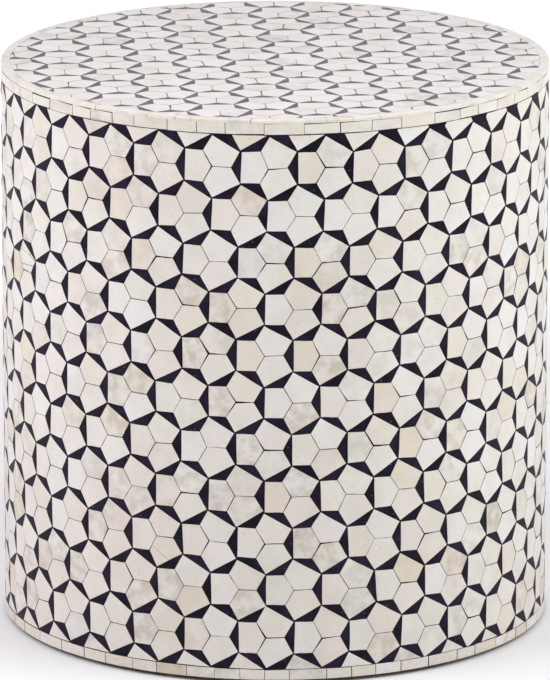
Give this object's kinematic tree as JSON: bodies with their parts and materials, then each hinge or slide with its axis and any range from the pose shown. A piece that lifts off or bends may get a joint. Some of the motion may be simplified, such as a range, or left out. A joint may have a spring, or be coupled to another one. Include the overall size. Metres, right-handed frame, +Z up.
{
  "type": "side table",
  "caption": "Drum side table covered with bone slips set in dark resin in a honeycomb trefoil pattern, with bone borders and a flat round top.",
  "frame": {"origin": "on the floor under the middle of the drum", "axes": "+Z up along the drum's axis, -Y towards the front seen in the picture, +X to the right of it"},
  "size_m": [0.406, 0.406, 0.421],
  "materials": {
    "bone": "satin polished bone",
    "resin": "polished dark resin",
    "fibreboard": "raw fibreboard",
    "plywood": "raw bending plywood",
    "hardboard": "smooth hardboard",
    "pine": "planed pine",
    "steel": "zinc plated",
    "nylon": "moulded nylon"
  },
  "bodies": {
    "root": {"base_hoop": "fibreboard", "base_panel": "hardboard", "base_screws": "steel", "base_tacks": "steel", "bone_lower_band": "bone", "bone_row_01": "bone", "bone_row_02": "bone", "bone_row_03": "bone", "bone_row_04": "bone", "bone_row_05": "bone", "bone_row_06": "bone", "bone_row_07": "bone", "bone_row_08": "bone", "bone_row_09": "bone", "bone_row_10": "bone", "bone_row_11": "bone", "bone_row_lower_cut": "bone", "bone_row_upper_cut": "bone", "bone_top_file_01": "bone", "bone_top_file_02": "bone", "bone_top_file_03": "bone", "bone_top_file_04": "bone", "bone_top_file_05": "bone", "bone_top_file_06": "bone", "bone_top_file_07": "bone", "bone_top_file_08": "bone", "bone_top_file_09": "bone", "bone_top_file_10": "bone", "bone_top_file_11": "bone", "bone_top_file_12": "bone", "bone_top_ring": "bone", "bone_upper_band": "bone", "floor_glides": "nylon", "middle_hoop": "fibreboard", "resin_side": "resin", "resin_top": "resin", "skin_back": "plywood", "skin_front": "plywood", "top_panel": "fibreboard", "top_screws": "steel", "upright_01": "pine", "upright_02": "pine", "upright_03": "pine", "upright_04": "pine", "upright_05": "pine", "upright_06": "pine", "upright_07": "pine", "upright_08": "pine"}
  },
  "joints": []
}
